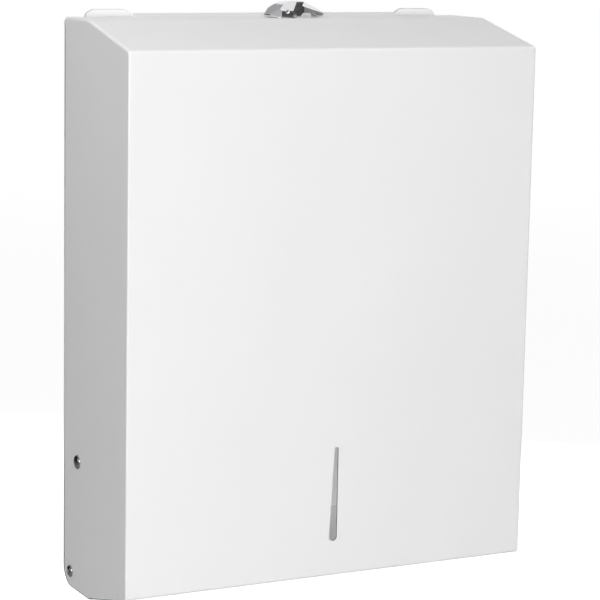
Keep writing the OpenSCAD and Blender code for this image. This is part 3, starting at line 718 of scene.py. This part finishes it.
# One piece from a list of places and facings, turned into a plain mesh
def buildRivets(name, spec, length, places, body, slot, *replaced):
    seeds = bpy.data.meshes.new(name + "Places")
    seeds.from_pydata([place for place, facing in places], [], [])
    facings = seeds.attributes.new("facing", "FLOAT_VECTOR", "POINT")
    for i, (place, facing) in enumerate(places):
        facings.data[i].vector = facing
    piece = bpy.data.objects.new(name, seeds)
    bpy.context.scene.collection.objects.link(piece)
    grower = piece.modifiers.new("rivets", "NODES")
    grower.node_group = rivetTree
    values = {"Shank Length": length, "Finish": finishOfSlot[slot], "Dimple Finish": zincPlate}
    for key, value in spec.items():
        values[rivetInputs[key]] = value
    for socket in rivetTree.interface.items_tree:
        if socket.in_out == "INPUT" and socket.name in values:
            grower[socket.identifier] = values[socket.name]
    view = bpy.context.evaluated_depsgraph_get()
    grown = bpy.data.meshes.new_from_object(piece.evaluated_get(view))
    piece.modifiers.remove(grower)
    piece.data = grown
    for polygon in grown.polygons:
        polygon.use_smooth = True
    grown.set_sharp_from_angle(angle=math.radians(rivetMesh["sharpAngle"]))
    finishPiece(piece, body, slot, *replaced)


# Middle of each small rivet's head, where it meets the sheet
def rivetPlaces(node):
    low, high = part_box(node)
    across, up = rivetGrid[node]
    edge = smallRivet["headRadius"]
    places = []
    for i in range(across):
        x = mix(low.x + edge, high.x - edge, i / (across - 1))
        for k in range(up):
            z = mix(low.z + edge, high.z - edge, k / max(up - 1, 1))
            places.append(Vector((x, low.y + smallRivet["headHeight"], z)))
    return places


def buildSmallRivets():
    for name, node in (("bracketRivets", "bracket_rivets"), ("shelfRivets", "shelf_rivets"),
                       ("strikeRivets", "strike_rivets")):
        places = [(place, (0, -1, 0)) for place in rivetPlaces(node)]
        buildRivets(name, smallRivet, -places[0][0].y, places, "back", "zinc", node)


def buildSidePins(name, spec, node, body):
    low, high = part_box(node + "_right")
    seat = high.x - spec["headHeight"]
    end = low.x + spec["tailHeight"]
    middle = centreOf(node + "_right")
    places = [(Vector((sign * seat, middle.y, middle.z)), (sign, 0, 0)) for sign in (-1, 1)]
    buildRivets(name, spec, seat - end, places, body, "rivet_steel", node + "_left", node + "_right")


# Wall plate

plate = {
    "sheet": 0.0012, "bend": 0.0022,
    "topGap": 0.0013,               # from the level top down to the plate's shoulders
    "flangeLow": 0.0939,            # height of the side flanges' lower ends above the cover's lower edge
    "lowRound": 0.002, "stepRound": 0.0008,     # corners at the bottom and below the flanges
    "tongueInset": 0.025, "tongueBase": 0.031, "tongueTop": 0.0205,
    "tongueRise": 0.0018,           # height of the tongues' upright ends above the level top
    "tongueRound": 0.0045,
    "wallHole": 0.00325, "wallHoleX": 0.1016, "wallHoleZ": 0.127,
    "softEdge": 0.00012,            # softening of the cut edges
    "bendSteps": 8, "holeSteps": 28,
}


def nearestVert(verts, point):
    return min(verts, key=lambda v: (v.co - point).length)


def plateOutline(low, high, level):
    sideX = high.x
    bendX = sideX - plate["bend"]
    shoulder = level - plate["topGap"]
    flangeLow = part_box("cover_shell")[0].z + plate["flangeLow"]
    tongueX = sideX - plate["tongueInset"]
    base = plate["tongueBase"] / 2
    tip = plate["tongueTop"] / 2
    upright = level + plate["tongueRise"]
    soft = plate["tongueRound"]
    right = [
        ((sideX, low.z), plate["lowRound"]), ((sideX, flangeLow - plate["bend"]), plate["stepRound"]),
        ((bendX, flangeLow), 0), ((bendX, shoulder), 0), ((tongueX + base, shoulder), 0),
        ((tongueX + base, upright), soft), ((tongueX + tip, high.z), soft),
        ((tongueX - tip, high.z), soft), ((tongueX - base, upright), soft),
        ((tongueX - base, shoulder), 0)]
    left = [((-x, z), radius) for (x, z), radius in reversed(right)]
    points = [Vector(point) for point, radius in right + left]
    radii = [radius for point, radius in right + left]
    outline = roundPath(points, radii, plate["bendSteps"], closed=True)
    return outline, (bendX, flangeLow, shoulder)


def buildPlate():
    low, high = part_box("back_plate")
    outline, (bendX, flangeLow, shoulder) = plateOutline(low, high, levelTop())
    bm = bmesh.new()
    edge = addLoop(bm, [xz(p, 0) for p in outline])
    holes = [((x, z), plate["wallHole"])
             for x in (-plate["wallHoleX"], plate["wallHoleX"])
             for z in (-plate["wallHoleZ"], plate["wallHoleZ"])]
    for name in rivetGrid:
        holes += [((place.x, place.z), smallRivet["shankRadius"]) for place in rivetPlaces(name)]
    loops = []
    for at, radius in holes:
        around = circlePoints(Vector(at), radius, plate["holeSteps"])
        loops.append(addLoop(bm, [xz(p, 0) for p in around]))
    fillPanel(bm, edge, loops, (0, 1, 0))
    turn = [Vector((bendX, 0)), Vector((high.x, 0)), Vector((high.x, low.y))]
    bend = roundPath(turn, [0, plate["bend"], 0], plate["bendSteps"])[2:]
    for sign in (-1, 1):
        rows = [[nearestVert(edge, Vector((sign * bendX, 0, z))) for z in (flangeLow, shoulder)]]
        for p in bend:
            rows.append(addLoop(bm, [(sign * p.x, p.y, z) for z in (flangeLow, shoulder)]))
        bridgeRows(bm, rows)
    faceTowards(bm, Vector((0, 1, 0)))
    # the plate takes the paler copy of the white paint, painted light on its tongues
    piece = makePiece("backPlate", bm, [whitenedPlateEnamel, rawEdge])
    thicken(piece, plate["sheet"], plate["softEdge"])
    finishPiece(piece, "back", "white_paint", "back_plate")


buildPlate()
buildSmallRivets()
buildSidePins("pivotRivets", pivotRivet, "pivot_rivet", "back")
buildSidePins("stopStuds", stopStud, "stop_stud", "cover")


# Nodes that keep their own shape get softened edges

softening = {
    "hinge_bracket_left": 0.00025, "hinge_bracket_right": 0.00025, "towel_shelf": 0.0003,
    "strike_bracket": 0.00025, "lock_lever": 0.0006, "lock_bush": 0.0003, "lock_nut": 0.0004,
    "lock_cam": 0.0003, "cam_screw": 0.0002, "lever_washer": 0.0001,
    "pivot_washer_left": 0.0001, "pivot_washer_right": 0.0001,
    "stop_washer_left": 0.00015, "stop_washer_right": 0.00015}
nodeEdges = {"angle": 35, "segments": 3}
wholeFaces = {"weld": 0.000001, "angle": 0.4}   # joins the loaded triangles into flat faces


def softenNode(node, width):
    weld = node.modifiers.new("weld", "WELD")
    weld.merge_threshold = wholeFaces["weld"]
    flat = node.modifiers.new("wholeFaces", "DECIMATE")
    flat.decimate_type = "DISSOLVE"
    flat.angle_limit = math.radians(wholeFaces["angle"])
    softenEdges(node, width, **nodeEdges)


for nodeName, width in softening.items():
    softenNode(nodes[nodeName], width)
print("softened nodes:", len(softening))


# Camera at the photo's angle, and the stage

shot = {
    "azimuth": 27.1, "pitch": 9.6, "roll": 1.1,
    "target": (-0.0248, -0.1045, 0.0126), "distance": 1.4006, "lens": 139.2}


# Turns +Z along a direction, with +X level, then rolls about it
def aim(back, roll):
    right = Vector((0, 0, 1)).cross(back).normalized()
    turn = Matrix((right, back.cross(right), back)).transposed()
    return turn.to_4x4() @ Matrix.Rotation(roll, 4, "Z")


def makeCamera():
    around = math.radians(shot["azimuth"])
    above = math.radians(shot["pitch"])
    back = Vector((
        -math.sin(around) * math.cos(above), -math.cos(around) * math.cos(above), math.sin(above)))
    camera = bpy.data.objects.new("camera", bpy.data.cameras.new("camera"))
    camera.data.lens = shot["lens"]
    place = Vector(shot["target"]) + back * shot["distance"]
    camera.matrix_world = Matrix.Translation(place) @ aim(back, math.radians(shot["roll"]))
    bpy.context.scene.collection.objects.link(camera)
    bpy.context.scene.camera = camera


lights = {
    "ambient": 0.07,
    "lamps": {
        "key": {"place": (-0.95, -1.2, 0.5), "towards": (0, 0, 0), "size": 0.8, "watts": 11.2},
        "front": {"place": (-0.15, -1.7, 0.9), "towards": (0, 0, 0), "size": 0.8, "watts": 10.9},
        "top": {"place": (-0.1, -0.45, 1.5), "towards": (0, 0, 0), "size": 0.9, "watts": 4.3},
        "low": {"place": (0, -0.9, -0.35), "towards": (0, -0.1, -0.1), "size": 0.5, "watts": 1.08},
        "side": {
            "place": (-0.6, 0.1, 0.55), "towards": (-0.14, -0.05, 0.1), "size": 0.4, "watts": 1.15,
            "shines": False},       # leaves no reflection
        "rear": {
            "place": (1.0, 1.3, 0.15), "towards": (0, 0, 0), "size": 0.8, "watts": 9,
            "shines": False},
        "inside": {                 # lights what shows through the slot
            "place": (0.055, -0.08, -0.125), "towards": (0.055, -0.015, -0.17), "size": 0.06,
            "watts": 0.02},
    },
}


def addLight(name, spec):
    lamp = bpy.data.lights.new(name, "AREA")
    lamp.shape = "SQUARE"
    lamp.size = spec["size"]
    lamp.energy = spec["watts"]
    holder = bpy.data.objects.new(name, lamp)
    place = Vector(spec["place"])
    back = (place - Vector(spec["towards"])).normalized()
    holder.matrix_world = Matrix.Translation(place) @ aim(back, 0)
    holder.visible_camera = False
    holder.visible_glossy = spec.get("shines", True)
    bpy.context.scene.collection.objects.link(holder)


# White to the camera and in reflections, dim as a light
def makeWorld():
    world = bpy.data.worlds.new("studio")
    bpy.context.scene.world = world
    world.use_nodes = True
    tree = world.node_tree
    rays = addNode(tree, "ShaderNodeLightPath").outputs
    seen = calc(tree, "MAXIMUM", rays["Is Camera Ray"], rays["Is Glossy Ray"])
    seen = calc(tree, "MAXIMUM", seen, rays["Is Transmission Ray"])
    colour = mixColours(tree, seen, grey(lights["ambient"]), grey(1))
    tree.links.new(colour, tree.nodes["Background"].inputs["Color"])


def addQuad(name, material, width, height, turn):
    corners = [(-width, -height), (width, -height), (width, height), (-width, height)]
    bm = bmesh.new()
    bm.faces.new(addLoop(bm, [turn @ Vector((x / 2, y / 2, 0)) for x, y in corners]))
    return makePiece(name, bm, [material])


stage = {
    "drop": 0.3, "size": 80.0, "colour": 0.8, "drift": 0.01, "cloudScale": 3,
    "near": 1.2, "far": 5.0, "nearLift": 0.84, "farLift": 0.945,    # glow that only the camera sees
}


def makeFloor():
    material, tree, shader, place = newMaterial("paleFloor")
    tree.nodes.remove(shader)
    cloud = addNoise(tree, place, stage["cloudScale"])
    tones = (stage["colour"] - stage["drift"], stage["colour"] + stage["drift"])
    matt = addNode(tree, "ShaderNodeBsdfDiffuse", {"Color": remap(tree, cloud, (0, 1), tones)})
    seen = addNode(tree, "ShaderNodeLightPath").outputs["Is Camera Ray"]
    away = addNode(tree, "ShaderNodeVectorMath", {0: place}, operation="LENGTH").outputs["Value"]
    lift = remap(tree, away, (stage["near"], stage["far"]), (stage["nearLift"], stage["farLift"]))
    glow = addNode(tree, "ShaderNodeEmission", {"Strength": calc(tree, "MULTIPLY", seen, lift)})
    both = addNode(tree, "ShaderNodeAddShader", {0: matt.outputs[0], 1: glow.outputs[0]})
    tree.links.new(both.outputs[0], tree.nodes["Material Output"].inputs["Surface"])
    level = Matrix.Translation((0, 0, cadBox[0].z - stage["drop"]))
    floor = addQuad("floor", material, stage["size"], stage["size"], level)


# cards that only reflections see: place, width and height, tone
cards = {
    "frontCard": ((0.5, -2.4, -0.2), (2.4, 0.8), 0.04),
    "beakCard": ((2.3, -2.2, -0.25), (0.9, 0.8), 0.2),
    "cornerCard": ((-2.2, -1.1, -0.3), (1.2, 0.8), 0.45),
    "roofCard": ((0.9, -0.65, 1.63), (1.2, 1.2), 0.65),
    "leftCard": ((-1.2, 1.9, 0.2), (3.0, 2.4), 0.03),
    "rearCard": ((-0.3, 1.9, 1.2), (1.2, 0.8), 0.3),
    "studCard": ((-1.6, 0.15, 1.6), (2.2, 1.6), 0.05),
}
felt = {"scale": 40, "drift": 0.2}      # mottling of the cards' tones


def makeCards():
    for name, (centre, (width, height), tone) in cards.items():
        material, tree, shader, place = newMaterial(name)
        mottle = addNoise(tree, place, felt["scale"])
        deep = grey((1 - felt["drift"]) * tone)
        pale = grey((1 + felt["drift"]) * tone)
        colour = mixColours(tree, mottle, deep, pale)
        for socket in ("Base Color", "Emission Color"):
            tree.links.new(colour, shader.inputs[socket])
        shader.inputs["Emission Strength"].default_value = 1
        shader.inputs["Specular IOR Level"].default_value = 0
        turn = Matrix.Translation(Vector(centre)) @ aim(-Vector(centre).normalized(), 0)
        card = addQuad(name, material, width, height, turn)
        for ray in ("camera", "diffuse", "shadow", "transmission", "volume_scatter"):
            setattr(card, "visible_" + ray, False)


makeCamera()
for lampName, lampSpec in lights["lamps"].items():
    addLight(lampName, lampSpec)
makeCards()
makeWorld()
makeFloor()
bpy.context.scene.view_settings.view_transform = "Standard"
print("camera, lights and floor set")
